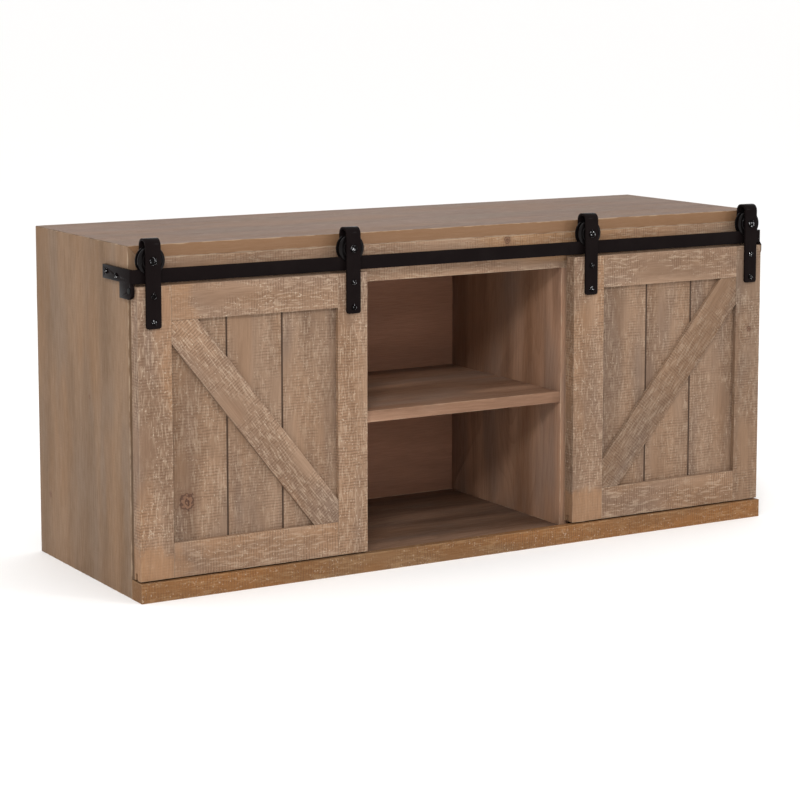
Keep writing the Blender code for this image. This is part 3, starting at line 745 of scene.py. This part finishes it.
@dataclass
class Board:
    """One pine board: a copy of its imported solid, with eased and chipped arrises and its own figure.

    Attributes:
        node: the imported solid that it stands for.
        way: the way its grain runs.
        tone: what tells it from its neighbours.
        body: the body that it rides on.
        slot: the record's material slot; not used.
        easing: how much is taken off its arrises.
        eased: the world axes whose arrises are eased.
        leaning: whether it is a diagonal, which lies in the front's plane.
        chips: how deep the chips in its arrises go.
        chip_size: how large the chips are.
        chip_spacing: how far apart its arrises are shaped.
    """

    node: str
    way: Way
    tone: Tone
    body: str = "carcass"
    slot: str = "weathered_pine"
    easing: float = 0.9 * MM
    eased: tuple[int, ...] = (0, 1, 2)
    leaning: bool = False
    chips: float = 1.8 * MM
    chip_size: float = 22 * MM
    chip_spacing: float = 18 * MM

    def build(self, finish: Finish) -> Piece:
        """Makes the board.

        Args:
            finish: its material.

        Returns:
            The finished piece.
        """
        piece = copied(self.node, f"{self.node}_board", whole=self.leaning)
        low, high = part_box(self.node)
        grain, size = self._grain(piece, low, high)
        edit(piece, lambda shape: self._ease(shape, piece, low, high))
        self._chip(piece)
        self._mark(piece, (low + high) / 2, grain, size)
        return finished(piece, self.body, finish)

    def _grain(self, piece: Piece, low: Vector, high: Vector) -> tuple[Matrix, Vector]:
        """Finds the way the grain runs.

        Args:
            piece: the welded board, before its arrises are eased.
            low: its lowest corner.
            high: its highest corner.

        Returns:
            A matrix that turns the world's axes into along, across and through, and the size in those axes.
        """
        rows = [Vector([float(axis == wanted) for axis in range(3)]) for wanted in self.way.value]
        if self.leaning:
            ends = [[piece.data.vertices[i].co for i in edge.vertices] for edge in piece.data.edges]
            longest = max((second - first for first, second in ends), key=lambda step: step.length)
            along = longest.normalized()
            rows = [along, Vector((0, 1, 0)).cross(along), Vector((0, 1, 0))]
        grain = Matrix(rows)
        points = [grain @ (vert.co - (low + high) / 2) for vert in piece.data.vertices]
        return grain, Vector([2 * max(abs(point[i]) for point in points) for i in range(3)])

    def _ease(self, shape: bmesh.types.BMesh, piece: Piece, low: Vector, high: Vector) -> None:
        """Rounds the arrises, and groups the points along their crowns.

        Args:
            shape: the board in edit mode.
            piece: the board.
            low: its lowest corner.
            high: its highest corner.
        """
        arris = partial(self._is_arris, low=low, high=high)
        pick(shape, piece, shape.edges, arris)
        longest = max(edge.calc_length() for edge in shape.edges if edge.select)
        bpy.ops.mesh.subdivide(number_cuts=max(1, round(longest / self.chip_spacing)))
        bpy.ops.mesh.select_all(action="DESELECT")
        shape = bmesh.from_edit_mesh(piece.data)
        pick(shape, piece, shape.edges, arris)
        bpy.ops.mesh.bevel(offset=self.easing, segments=2, affect="EDGES", clamp_overlap=True)
        bpy.ops.mesh.select_mode(type="VERT")
        bpy.ops.mesh.select_less()
        bpy.ops.object.vertex_group_assign_new()

    def _is_arris(self, edge: bmesh.types.BMEdge, low: Vector, high: Vector) -> bool:
        """Says whether an edge is one of the board's outer arrises.

        Args:
            edge: the edge.
            low: the board's lowest corner.
            high: its highest corner.

        Returns:
            True on an arris.
        """
        start, end = (vert.co for vert in edge.verts)
        if self.leaning:
            return max(start.y, end.y) < low.y + 0.1 * MM
        step = [abs(end[i] - start[i]) for i in range(3)]
        axis = step.index(max(step))
        if axis not in self.eased:
            return False
        return all(
            min(abs(point[i] - low[i]), abs(point[i] - high[i])) < 0.05 * MM
            for point in (start, end) for i in range(3) if i != axis
        )

    def _chip(self, piece: Piece) -> None:
        """Knocks small chips out of the arrises' crowns.

        Args:
            piece: the board.
        """
        if not piece.vertex_groups:
            return
        chips = bpy.data.textures.new(f"{piece.name}_chips", "CLOUDS")
        chips.noise_scale = self.chip_size
        chips.noise_depth = 3
        knock = piece.modifiers.new("chips", "DISPLACE")
        knock.texture = chips
        knock.texture_coords = "LOCAL"
        knock.vertex_group = piece.vertex_groups[0].name
        knock.strength = -self.chips
        knock.mid_level = 0.42
        apply_all(piece)
        piece.vertex_groups.clear()

    def _mark(self, piece: Piece, middle: Vector, grain: Matrix, size: Vector) -> None:
        """Writes the board's own coordinates, size, tone and knots on its points.

        Args:
            piece: the board.
            middle: the middle of its box.
            grain: turns the world's axes to the board's, with its grain along X.
            size: its length, width and thickness.
        """
        knots = [(knot.along, knot.across, knot.radius) for knot in self.tone.knots]
        knots += [(9.0, 9.0, 0.0)] * (2 - len(knots))
        tone = self.tone
        self._write(piece, "board", [grain @ (vert.co - middle) for vert in piece.data.vertices])
        self._write(piece, "half", [size / 2])
        self._write(piece, "tone", [(tone.seed, tone.warmth, tone.wash)])
        self._write(piece, "trim", [(tone.wear_and_gap_shade, tone.flank, tone.shade)])
        self._write(piece, "bare", [tone.bare])
        self._write(piece, "knot_one", [knots[0]])
        self._write(piece, "knot_two", [knots[1]])

    @staticmethod
    def _write(piece: Piece, name: str, values: Sequence[Sequence[float]]) -> None:
        """Writes a vector on each of a piece's points. A single value goes on them all.

        Args:
            piece: the piece.
            name: what the attribute is called.
            values: one vector, or one to a point.
        """
        made = piece.data.attributes.new(name, "FLOAT_VECTOR", "POINT")
        if len(values) == 1:
            values = list(values) * len(piece.data.vertices)
        made.data.foreach_set("vector", [number for value in values for number in value])


@dataclass
class Carcass:
    """The fixed pine box: its outer boards, its inner boards and the base rail.

    Attributes:
        side: the planed and brushed side panels.
        header: the sawn header under the top.
        top: the greyer top.
        inside: the darker boards of the bays.
        back: the flat, redder back panel.
        base: the base rail, whose saw marks stand upright.
    """

    side: SawnPine = SawnPine("brushed_pine_side", "#81664e", "#68503a", "#7f5d3d", "#776250", saw=0.3,
                              streak=0.8)
    header: SawnPine = SawnPine("sawn_pine_header", "#977a62", "#725744", "#98714c", "#85705e", saw=0.9,
                                streak=0.8)
    top: SawnPine = SawnPine("worn_pine_top", "#745d4f", "#5f493b", "#7f5c3c", "#6d5b4d", saw=0.3, gloss=0.62)
    inside: SawnPine = SawnPine("stained_pine_inside", "#ac866c", "#74543f", "#966d4f", "#8d7464", saw=0.15,
                                streak=0.85, gloss=0.66)
    back: SawnPine = SawnPine("stained_back_panel", "#ab7d64", "#8a624b", "#a2745a", "#986f59", saw=0.1,
                              streak=0.5, gloss=0.66)
    base: SawnPine = SawnPine("sawn_pine_base", "#7b5532", "#6a4828", "#82562d", "#755a3f", "#a48662",
                              saw=0.8)

    def build(self) -> list[Piece]:
        """Builds every board of the carcass.

        Returns:
            The pieces.
        """
        side, header, top, inside, back, base = (
            finish.make() for finish in (self.side, self.header, self.top, self.inside, self.back, self.base)
        )
        # A tone's first four numbers are its seed, warmth, wash, and its wear with gap shade.
        side_knots = (Knot(-0.171, 0.141, 0.0035), Knot(0.02, -0.03, 0.0025))
        boards = [
            (Board("top_board", Way.FLAT, Tone(1.3, 0.25, 0.5, flank=0.75), easing=0.7 * MM), top),
            (Board("left_side_panel", Way.UPRIGHT_SIDE, Tone(2.1, 0.35, 0.3, knots=side_knots)), side),
            (Board("right_side_panel", Way.UPRIGHT_SIDE, Tone(3.4, 0.35, 0.3)), side),
            (Board("header_rail", Way.ACROSS_FRONT, Tone(4.2, 0.6, 0.7, knots=(Knot(0.087, 0.023, 0.0055),))),
             header),
            # The bay's floor is darkened with painted shade.
            (Board("bottom_board", Way.FLAT, Tone(5.5, 0.5, 0.1, shade=0.5)), inside),
            (Board("back_panel", Way.ACROSS_FRONT, Tone(6.1, 0.5, 0.1)), back),
            (Board("left_divider", Way.UPRIGHT_SIDE, Tone(7.7, 0.15, 0.1)), inside),
            (Board("right_divider", Way.UPRIGHT_SIDE, Tone(8.2, 0.35, 0.1)), inside),
            (Board("centre_shelf", Way.FLAT, Tone(9.6, 0.15, 0.25, 0.3, shade=0.07)), inside),
            (Board("front_base_rail", Way.ACROSS_FRONT, Tone(10.4, 0.7, 0.9)), base),
        ]
        return [board.build(finish) for board, finish in boards]


@dataclass
class Door:
    """One framed plank door.

    Attributes:
        side: left or right.
        tones: the tone of each of its boards.
        finish: its rough-sawn, whitewashed pine.
    """

    side: str
    tones: dict[str, Tone]
    finish: SawnPine = SawnPine("whitewashed_sawn_pine", "#8f745e", "#6c5340", "#8f6b4c", "#746052",
                                "#bba58d", streak=0.8)

    def build(self) -> list[Piece]:
        """Builds the frame, the planks and the brace.

        Returns:
            The pieces.
        """
        finish = self.finish.make()
        body = f"{self.side}_door"
        upright, level = (Way.UPRIGHT, (0, 1, 2)), (Way.ACROSS_FRONT, (0,))
        plan = {
            "left_stile": upright, "right_stile": upright, "bottom_rail": level, "top_rail": level,
            "plank_1": (Way.UPRIGHT, (2,)), "plank_2": (Way.UPRIGHT, (2,)), "plank_3": (Way.UPRIGHT, (2,)),
            "brace": level,
        }
        return [
            Board(
                f"{body}_{part}", way, self.tones[part], body, "whitewashed_pine",
                easing=0.8 * MM, eased=eased, leaning=part == "brace",
            ).build(finish)
            for part, (way, eased) in plan.items()
        ]


@dataclass
class Hardware:
    """All the black steel, with the rubber stops and the nylon guides.

    Attributes:
        coat: the powder coat on the rail and the straps.
        turned_coat: the glossier coat on the turned wheels.
        oxide: the blackened screws, axle bolts and nuts, with specks of bare steel at random on them, partly
            wear and partly painted glints.
        rubber: the stops.
        nylon: the guides.
        broken_edge: how much is taken off the steel's edges.
        wheel_bore: radius of the wheel's bore.
        wheel_roll: radius of the bottom of the wheel's groove.
        wheel_groove: half the groove's width.
        bolt_head: height of the axle bolt's head.
        bolt_shank: radius of the axle bolt.
        screw_head: height of a screw's head.
        screw_shank: radius of a screw.
    """

    coat: PowderCoat = PowderCoat("black_powder_coat", "#140f0f", "#1b1615", 0.18, 0.014)
    turned_coat: PowderCoat = PowderCoat("black_turned_steel", "#0d0a0a", "#141212", 0.16, 0.11)
    oxide: PowderCoat = PowderCoat("black_oxide_screws", "#0a0808", "#0e0c0c", 0.12, 0.03, worn=0.65)
    rubber: PowderCoat = PowderCoat("black_rubber_stop", "#0d0d0d", "#1c1b1a", 0.72)
    nylon: PowderCoat = PowderCoat("black_nylon_guide", "#111112", "#202020", 0.45)
    broken_edge: float = 0.5 * MM
    wheel_bore: float = 4.3 * MM
    wheel_roll: float = 13.0 * MM
    wheel_groove: float = 3.2 * MM
    bolt_head: float = 3.5 * MM
    bolt_shank: float = 4.0 * MM
    screw_head: float = 2.4 * MM
    screw_shank: float = 2.0 * MM

    def build(self) -> list[Piece]:
        """Builds every piece of hardware.

        Returns:
            The pieces.
        """
        coat, oxide = self.coat.make(), self.oxide.make()
        hangers = [f"{door}_{place}" for door in ("left_door", "right_door") for place in ("left", "right")]
        doors = [hanger.rsplit("_", 1)[0] for hanger in hangers]
        made = [self._broken("rail_bar", "carcass", coat)]
        made += [self._broken(f"{hanger}_strap", door, coat) for hanger, door in zip(hangers, doors)]
        made += [self._broken(f"{hanger}_axle_nut", door, oxide) for hanger, door in zip(hangers, doors)]
        wheels = [f"{hanger}_wheel" for hanger in hangers]
        made += self._set(wheels, wheels, self._wheel, Vector((0, -1, 0)), 64, self.turned_coat.make())
        bolts = [f"{hanger}_axle_bolt" for hanger in hangers]
        made += self._set(bolts, doors, self._bolt, Vector((0, -1, 0)), 40, oxide)
        screws = [f"{hanger}_strap_screw_{number}" for hanger in hangers for number in (1, 2)]
        twice = [door for door in doors for _ in (1, 2)]
        made += self._set(screws, twice, self._screw, Vector((0, -1, 0)), 32, oxide)
        for side, way in (("left", -1), ("right", 1)):
            screws = [f"{side}_arm_screw_{number}" for number in (1, 2)]
            made += self._set(screws, ["carcass"] * 2, self._screw, Vector((way, 0, 0)), 32, oxide)
        rubber, nylon = self.rubber.make(), self.nylon.make()
        for side in ("left", "right"):
            made.append(self._broken(f"{side}_door_stop", "carcass", rubber, 0.15 * MM))
            made.append(self._broken(f"{side}_door_guide", "carcass", nylon, 0.3 * MM))
        return made

    def _broken(self, node: str, body: str, finish: Finish,
                width: float | None = None) -> Piece:
        """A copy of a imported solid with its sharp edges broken.

        Args:
            node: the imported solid.
            body: the body that it rides on.
            finish: its material.
            width: how much is taken off its edges, if not broken_edge.

        Returns:
            The finished piece.
        """
        piece = copied(node, f"{node}_dressed")
        bevel = piece.modifiers.new("broken_edge", "BEVEL")
        bevel.width = width or self.broken_edge
        bevel.segments = 2
        bevel.limit_method = "ANGLE"
        bevel.angle_limit = math.radians(40)
        apply_all(piece)
        return finished(piece, body, finish)

    def _set(self, nodes: Sequence[str], bodies: Sequence[str], profile: Callable, towards: Vector,
             steps: int, finish: Finish) -> list[Piece]:
        """Turns the first piece of a set and copies it into the others' places.

        Args:
            nodes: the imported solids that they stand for.
            bodies: the body that each rides on.
            profile: gives the profile from the radius and length of the first.
            towards: the way their heads or fronts face.
            steps: how many sides they have.
            finish: their material.

        Returns:
            The finished pieces.
        """
        boxes = [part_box(node) for node in nodes]
        middles = [(low + high) / 2 for low, high in boxes]
        size = boxes[0][1] - boxes[0][0]
        section = profile(size.z / 2, abs(size @ towards))
        first = turned(f"{nodes[0]}_turned", middles[0], towards, section, steps)
        pieces = [first] + [
            repeated(first, f"{node}_turned", middle - middles[0])
            for node, middle in zip(nodes[1:], middles[1:])
        ]
        for piece, node, body in zip(pieces, nodes, bodies):
            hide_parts(node)
            finished(piece, body, finish, smooth=28.0)
        return pieces

    def _wheel(self, radius: float, length: float) -> list[tuple[float, float]]:
        """The section of a grooved wheel, with a raised hub and rim on each face and turned rings between.

        Args:
            radius: half the wheel's diameter.
            length: how thick it is.

        Returns:
            The radius and height of each point.
        """
        face, groove, roll = length / 2, self.wheel_groove, self.wheel_roll
        half = [
            # the hub and the dish round it
            (self.wheel_bore, face - 0.3 * MM), (self.wheel_bore + 0.3 * MM, face), (0.34 * radius, face),
            (0.37 * radius, face - 0.9 * MM), (0.52 * radius, face - 1.0 * MM),
            # the turned ring
            (0.545 * radius, face - 0.4 * MM), (0.60 * radius, face - 0.4 * MM),
            # the second dish and the rim
            (0.625 * radius, face - 1.0 * MM), (0.77 * radius, face - 1.0 * MM),
            (0.80 * radius, face - 0.1 * MM), (0.93 * radius, face), (0.975 * radius, face - 0.4 * MM),
            (radius, face - 1.2 * MM), (radius, groove + 0.9 * MM), (0.985 * radius, groove + 0.5 * MM),
            # the groove that runs on the rail
            (roll + 0.8 * MM, groove + 0.1 * MM), (roll, groove - 0.4 * MM),
        ]
        mirrored = [(r, -height) for r, height in reversed(half)]
        return half + mirrored + [half[0]]

    def _bolt(self, radius: float, length: float) -> list[tuple[float, float]]:
        """The section of an axle bolt with a domed head, from the crown of its head to its tip.

        Args:
            radius: half the head's diameter.
            length: from the crown to the tip.

        Returns:
            The radius and height of each point.
        """
        top, seat = length / 2, length / 2 - self.bolt_head
        dome = [
            (0.0, 1.0), (0.25, 0.985), (0.48, 0.92), (0.68, 0.80), (0.84, 0.60), (0.95, 0.34), (1.0, 0.06),
        ]
        head = [(radius * out, seat + self.bolt_head * up) for out, up in dome]
        return head + [
            (radius, seat), (self.bolt_shank, seat), (self.bolt_shank, 0.4 * MM - top),
            (self.bolt_shank - 0.4 * MM, -top), (0.0, -top),
        ]

    def _screw(self, radius: float, length: float) -> list[tuple[float, float]]:
        """The section of a pan-head screw with a socket, from the socket's floor to its tip.

        Args:
            radius: half the head's diameter.
            length: from the crown to the tip.

        Returns:
            The radius and height of each point.
        """
        top, seat = length / 2, length / 2 - self.screw_head
        return [
            (0.0, top - 1.3 * MM), (0.30 * radius, top - 1.2 * MM), (0.33 * radius, top - 0.15 * MM),
            (0.40 * radius, top), (0.62 * radius, top - 0.1 * MM), (0.82 * radius, top - 0.5 * MM),
            (0.96 * radius, top - 1.2 * MM), (radius, seat + 0.3 * MM), (radius, seat),
            (self.screw_shank, seat), (self.screw_shank, 1.5 * MM - top), (0.0, -top),
        ]


@dataclass
class Studio:
    """A plain pale floor, soft light from all round and the camera.

    Attributes:
        place: where the camera stands.
        bearing: the angle in degrees from the way the doors face to the way the camera looks.
        dip: how far in degrees it looks down.
        lens_mm: its focal length on a 36 mm sensor.
        drop: how far its picture is shifted, as a share of its width.
        sky: how bright the light from all round is.
        aim: the middle of the stand, which the softboxes face.
        floor_side: side of the floor.
    """

    place: Vector = field(default_factory=lambda: Vector((-2.0629, -3.4407, 0.9335)))
    bearing: float = 30.644
    dip: float = 6.908
    lens_mm: float = 104.94
    drop: float = -0.15
    sky: float = 1.04
    aim: Vector = field(default_factory=lambda: Vector((0.0, 0.0, 0.3)))
    floor_side: float = 2000.0

    def build(self) -> None:
        """Builds the floor, the lights and the camera."""
        self._floor()
        self._sky()
        self._softbox("key", (-3.0, -4.1, 3.4), 1.0, 112.0)
        self._softbox("overhead", (0.2, -0.3, 3.2), 2.4, 12.0)
        self._softbox("spark", (3.1, -4.8, 3.0), 0.3, 44.0)
        self._camera()
        bpy.context.scene.view_settings.view_transform = "Standard"

    def _floor(self) -> None:
        """A wide matt floor."""
        bpy.ops.object.select_all(action="DESELECT")
        bpy.ops.mesh.primitive_plane_add(size=self.floor_side, location=(0.0, 0.0, 0.0))
        floor = bpy.context.active_object
        floor.name = "floor"
        paint = bpy.data.materials.new("pale_matt_floor")
        paint.use_nodes = True
        shader = paint.node_tree.nodes["Principled BSDF"]
        shader.inputs["Base Color"].default_value = linear("#fbfaf9")
        shader.inputs["Roughness"].default_value = 0.95
        shader.inputs["Specular IOR Level"].default_value = 0.1
        floor.data.materials.append(paint)

    def _sky(self) -> None:
        """Even white light from all round."""
        world = bpy.data.worlds.new("studio")
        world.use_nodes = True
        background = world.node_tree.nodes["Background"]
        background.inputs["Color"].default_value = linear("#ffffff")
        background.inputs["Strength"].default_value = self.sky
        bpy.context.scene.world = world

    def _softbox(self, name: str, place: Sequence[float], side: float, watts: float) -> None:
        """A square light that faces the middle of the stand.

        Args:
            name: what the light is called.
            place: where it hangs.
            side: the length of its side.
            watts: its power.
        """
        light = bpy.data.lights.new(name, "AREA")
        light.shape = "SQUARE"
        light.size = side
        light.energy = watts
        lamp = bpy.data.objects.new(name, light)
        bpy.context.scene.collection.objects.link(lamp)
        lamp.location = place
        lamp.rotation_euler = (self.aim - Vector(place)).to_track_quat("-Z", "Y").to_euler()

    def _camera(self) -> None:
        """The camera."""
        lens = bpy.data.cameras.new("camera")
        lens.sensor_width = 36.0
        lens.lens = self.lens_mm
        lens.shift_y = self.drop
        camera = bpy.data.objects.new("camera", lens)
        bpy.context.scene.collection.objects.link(camera)
        camera.location = self.place
        camera.rotation_euler = (math.radians(90 - self.dip), 0.0, math.radians(-self.bearing))
        bpy.context.scene.camera = camera


def door_tones(first_seed: float, **special: Tone) -> dict[str, Tone]:
    """The tones of one door's boards.

    Args:
        first_seed: the seed of its first board.
        special: boards with a tone of their own.

    Returns:
        The tone of each board, by its name.
    """
    frame_boards = ("left_stile", "right_stile", "bottom_rail", "top_rail", "brace")
    frame_step, first_plank, plank_step = 1.37, first_seed + 9.1, 1.61
    tones = {
        name: Tone(first_seed + frame_step * i, warmth=0.3, wash=0.95, wear_and_gap_shade=0.3)
        for i, name in enumerate(frame_boards)
    }
    # The planks' value below 0 darkens a band along their arrises with painted shade, for the gaps between
    # them and the frame.
    tones |= {
        # The planks are darkened with painted shade from their frame, and partly for their own darker tone.
        f"plank_{i}": Tone(first_plank + plank_step * i, warmth=0.25, wash=0.8, wear_and_gap_shade=-0.85, shade=0.12)
        for i in (1, 2, 3)
    }
    return tones | special


def main() -> None:
    """Builds the stand's looks in order, and the studio round it."""
    logging.basicConfig(level=logging.INFO, format="%(name)s: %(message)s")
    pieces = Carcass().build()
    left_tones = door_tones(
        20.0,
        left_stile=Tone(20.0, 0.6, 0.9, 0.4, bare=(-0.24, 0.07, 0.8)),
        top_rail=Tone(24.1, 0.2, 0.95, 0.3, bare=(-0.135, 0.045, 0.6)),
        bottom_rail=Tone(26.4, 0.5, 0.8, 0.3, bare=(-0.14, 0.03, 0.5)),
        # This plank is darkened with painted shade, like the others, and partly for its own darker tone.
        plank_1=Tone(30.7, 0.25, 0.8, -0.85, shade=0.14, knots=(Knot(-0.114, -0.0187, 0.012),)),
    )
    right_tones = door_tones(
        40.0,
        left_stile=Tone(40.0, 0.5, 0.9, 0.4, bare=(-0.24, 0.08, 0.8)),
        # The right door's right stile and brace are darkened with painted shade, where less light falls.
        right_stile=Tone(41.4, 0.4, 0.9, 0.3, shade=0.24, knots=(Knot(0.080, 0.003, 0.004),)),
        brace=Tone(45.5, 0.3, 0.8, 0.3, shade=0.2),
    )
    pieces += Door("left", left_tones).build()
    pieces += Door("right", right_tones).build()
    pieces += Hardware().build()
    Studio().build()
    log.info("%d pieces", len(pieces))


if __name__ == "__main__":
    main()
